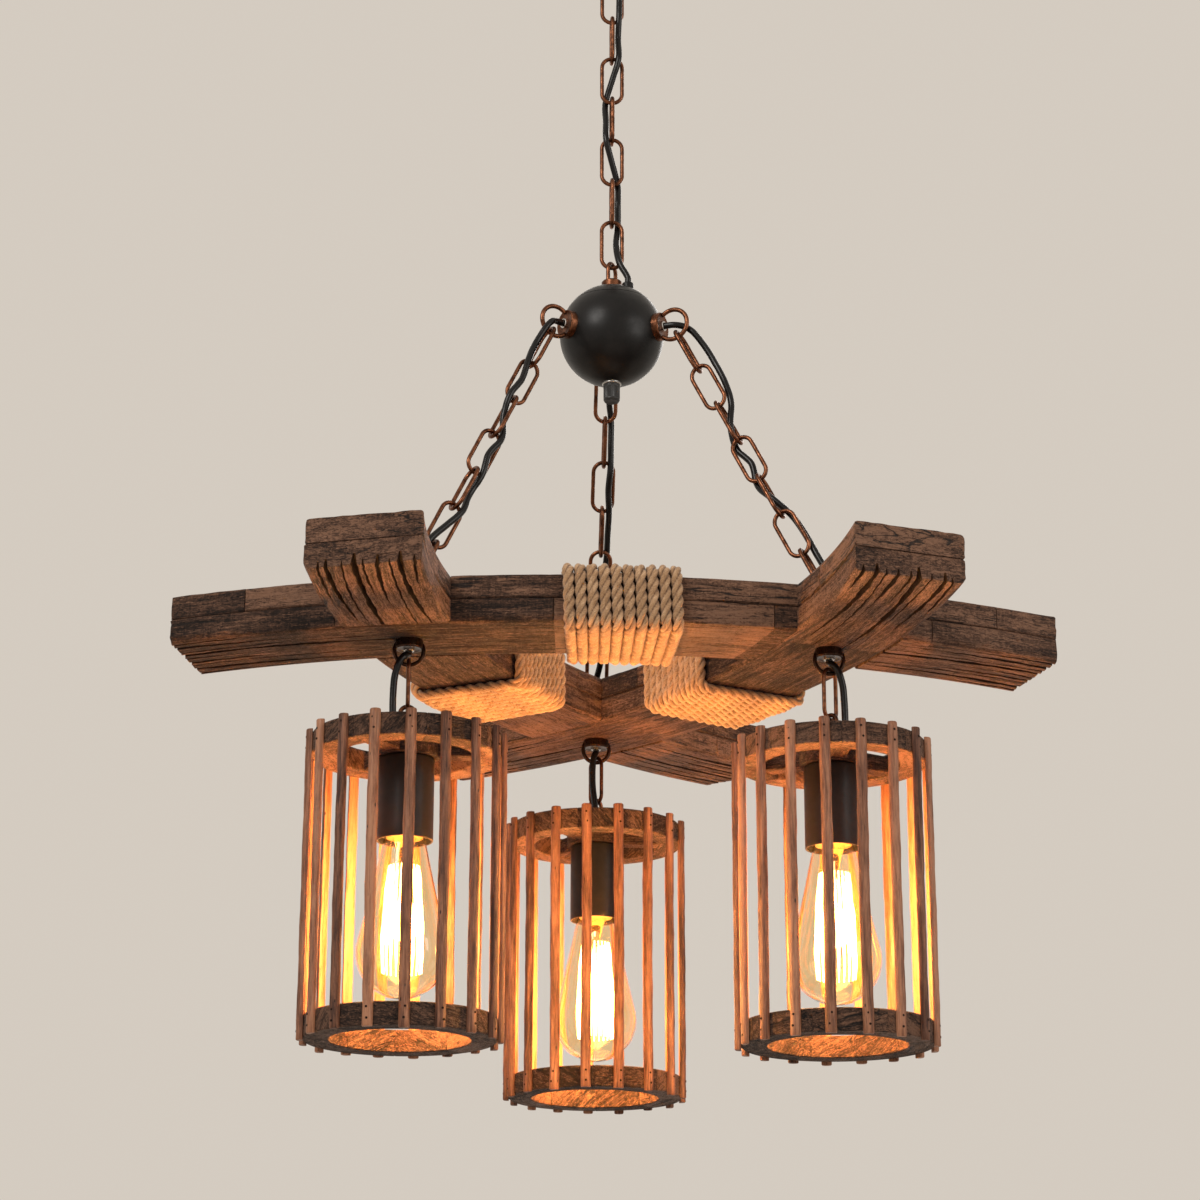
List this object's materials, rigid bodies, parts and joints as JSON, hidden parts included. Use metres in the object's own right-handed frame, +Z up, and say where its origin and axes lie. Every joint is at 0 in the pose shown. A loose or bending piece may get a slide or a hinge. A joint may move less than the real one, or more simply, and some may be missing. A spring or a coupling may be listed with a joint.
{
  "type": "chandelier",
  "caption": "Chandelier of curved timber beams lapped into a triangle, hung on chains from a metal ball, with a slatted wooden lantern hanging under each crossing.",
  "frame": {"origin": "on the ceiling plane, midway between the two screw holes of the ceiling bracket", "axes": "+Z up into the ceiling, +X to the right as seen from the front, -Y towards the viewer and the middle of the front beam"},
  "size_m": [0.646, 0.5841, 0.9937],
  "materials": {
    "bright_steel": "zinc plated steel",
    "canopy_black": "satin black powder coat",
    "antique_copper": "antique copper plated steel, dark in the hollows",
    "dark_bronze": "dark bronze plated steel",
    "ball_black": "satin black paint",
    "ferrule_black": "matt black knurled steel",
    "cable_black": "glossy black sheath",
    "beam_timber": "stained rough-sawn timber, split along the grain",
    "jute_rope": "natural twisted fibre",
    "ring_timber": "dark stained timber",
    "slat_timber": "stained half-round timber",
    "socket_black": "satin black paint",
    "bulb_glass": "amber tinted clear glass"
  },
  "bodies": {
    "ceiling": {"ceiling_bracket": "bright_steel", "canopy_rod": "bright_steel", "canopy_nut": "bright_steel", "canopy": "canopy_black", "canopy_loop": "antique_copper", "main_cable": "cable_black"},
    "link_1": {"main_link_1": "antique_copper"},
    "link_2": {"main_link_2": "antique_copper"},
    "link_3": {"main_link_3": "antique_copper"},
    "link_4": {"main_link_4": "antique_copper"},
    "link_5": {"main_link_5": "antique_copper"},
    "link_6": {"main_link_6": "antique_copper"},
    "link_7": {"main_link_7": "antique_copper"},
    "link_8": {"main_link_8": "antique_copper"},
    "link_9": {"main_link_9": "antique_copper"},
    "frame": {"ball_rod": "bright_steel", "ball_top_eye": "antique_copper", "ball_shell": "ball_black", "ball_lid": "ball_black", "ball_side_rings": "antique_copper", "ball_washer": "bright_steel", "ball_ferrule": "ferrule_black", "chain_left": "antique_copper", "chain_right": "antique_copper", "chain_back": "antique_copper", "bridle_cable_left": "cable_black", "bridle_cable_right": "cable_black", "bridle_cable_back": "cable_black", "beam_eyes": "antique_copper", "beam_front": "beam_timber", "beam_right": "beam_timber", "beam_left": "beam_timber", "rope_front": "jute_rope", "rope_right": "jute_rope", "rope_left": "jute_rope", "hanger_loops": "dark_bronze", "lantern_cable_left": "cable_black", "lantern_cable_right": "cable_black", "lantern_cable_back": "cable_black"},
    "hanger_left": {"hanger_link_left": "antique_copper"},
    "lantern_left": {"top_wheel_left": "ring_timber", "bottom_ring_left": "ring_timber", "slats_left": "slat_timber", "top_loop_left": "antique_copper", "socket_left": "socket_black"},
    "bulb_left": {"bulb_left": "bulb_glass"},
    "hanger_right": {"hanger_link_right": "antique_copper"},
    "lantern_right": {"top_wheel_right": "ring_timber", "bottom_ring_right": "ring_timber", "slats_right": "slat_timber", "top_loop_right": "antique_copper", "socket_right": "socket_black"},
    "bulb_right": {"bulb_right": "bulb_glass"},
    "hanger_back": {"hanger_link_back": "antique_copper"},
    "lantern_back": {"top_wheel_back": "ring_timber", "bottom_ring_back": "ring_timber", "slats_back": "slat_timber", "top_loop_back": "antique_copper", "socket_back": "socket_black"},
    "bulb_back": {"bulb_back": "bulb_glass"}
  },
  "joints": [
    {"name": "main_swing_1", "type": "hinge", "parent": "ceiling", "child": "link_1", "pos_m": [0, 0, -0.045], "axis": [0, 1, 0], "range_deg": [-15, 15], "deforming": ["main_cable"]},
    {"name": "main_swing_2", "type": "hinge", "parent": "link_1", "child": "link_2", "pos_m": [0, 0, -0.0808], "axis": [1, 0, 0], "range_deg": [-15, 15], "deforming": ["main_cable"]},
    {"name": "main_swing_3", "type": "hinge", "parent": "link_2", "child": "link_3", "pos_m": [0, 0, -0.1168], "axis": [0, 1, 0], "range_deg": [-15, 15], "deforming": ["main_cable"]},
    {"name": "main_swing_4", "type": "hinge", "parent": "link_3", "child": "link_4", "pos_m": [0, 0, -0.1528], "axis": [1, 0, 0], "range_deg": [-15, 15], "deforming": ["main_cable"]},
    {"name": "main_swing_5", "type": "hinge", "parent": "link_4", "child": "link_5", "pos_m": [0, 0, -0.1888], "axis": [0, 1, 0], "range_deg": [-15, 15], "deforming": ["main_cable"]},
    {"name": "main_swing_6", "type": "hinge", "parent": "link_5", "child": "link_6", "pos_m": [0, 0, -0.2248], "axis": [1, 0, 0], "range_deg": [-15, 15], "deforming": ["main_cable"]},
    {"name": "main_swing_7", "type": "hinge", "parent": "link_6", "child": "link_7", "pos_m": [0, 0, -0.2608], "axis": [0, 1, 0], "range_deg": [-15, 15], "deforming": ["main_cable"]},
    {"name": "main_swing_8", "type": "hinge", "parent": "link_7", "child": "link_8", "pos_m": [0, 0, -0.2968], "axis": [1, 0, 0], "range_deg": [-15, 15], "deforming": ["main_cable"]},
    {"name": "main_swing_9", "type": "hinge", "parent": "link_8", "child": "link_9", "pos_m": [0, 0, -0.3328], "axis": [0, 1, 0], "range_deg": [-15, 15], "deforming": ["main_cable"]},
    {"name": "frame_swing", "type": "hinge", "parent": "link_9", "child": "frame", "pos_m": [0, 0, -0.3688], "axis": [1, 0, 0], "range_deg": [-15, 15], "deforming": ["main_cable"]},
    {"name": "hanger_swing_left", "type": "hinge", "parent": "frame", "child": "hanger_left", "pos_m": [-0.15143, -0.08743, -0.72308], "axis": [1, 0, 0], "range_deg": [-15, 15], "deforming": ["lantern_cable_left"]},
    {"name": "lantern_swing_left", "type": "hinge", "parent": "hanger_left", "child": "lantern_left", "pos_m": [-0.15143, -0.08743, -0.75728], "axis": [0, 1, 0], "range_deg": [-15, 15], "deforming": ["lantern_cable_left"]},
    {"name": "bulb_slide_left", "type": "slide", "parent": "lantern_left", "child": "bulb_left", "axis": [0, 0, -1], "range_m": [0, 0.028]},
    {"name": "hanger_swing_right", "type": "hinge", "parent": "frame", "child": "hanger_right", "pos_m": [0.15143, -0.08743, -0.72308], "axis": [1, 0, 0], "range_deg": [-15, 15], "deforming": ["lantern_cable_right"]},
    {"name": "lantern_swing_right", "type": "hinge", "parent": "hanger_right", "child": "lantern_right", "pos_m": [0.15143, -0.08743, -0.75728], "axis": [0.7071, 0.7071, 0], "range_deg": [-15, 15], "deforming": ["lantern_cable_right"]},
    {"name": "bulb_slide_right", "type": "slide", "parent": "lantern_right", "child": "bulb_right", "axis": [0, 0, -1], "range_m": [0, 0.028]},
    {"name": "hanger_swing_back", "type": "hinge", "parent": "frame", "child": "hanger_back", "pos_m": [0, 0.17485, -0.72308], "axis": [1, 0, 0], "range_deg": [-15, 15], "deforming": ["lantern_cable_back"]},
    {"name": "lantern_swing_back", "type": "hinge", "parent": "hanger_back", "child": "lantern_back", "pos_m": [0, 0.17485, -0.75728], "axis": [-0.5736, 0.8192, 0], "range_deg": [-15, 15], "deforming": ["lantern_cable_back"]},
    {"name": "bulb_slide_back", "type": "slide", "parent": "lantern_back", "child": "bulb_back", "axis": [0, 0, -1], "range_m": [0, 0.028]}
  ]
}
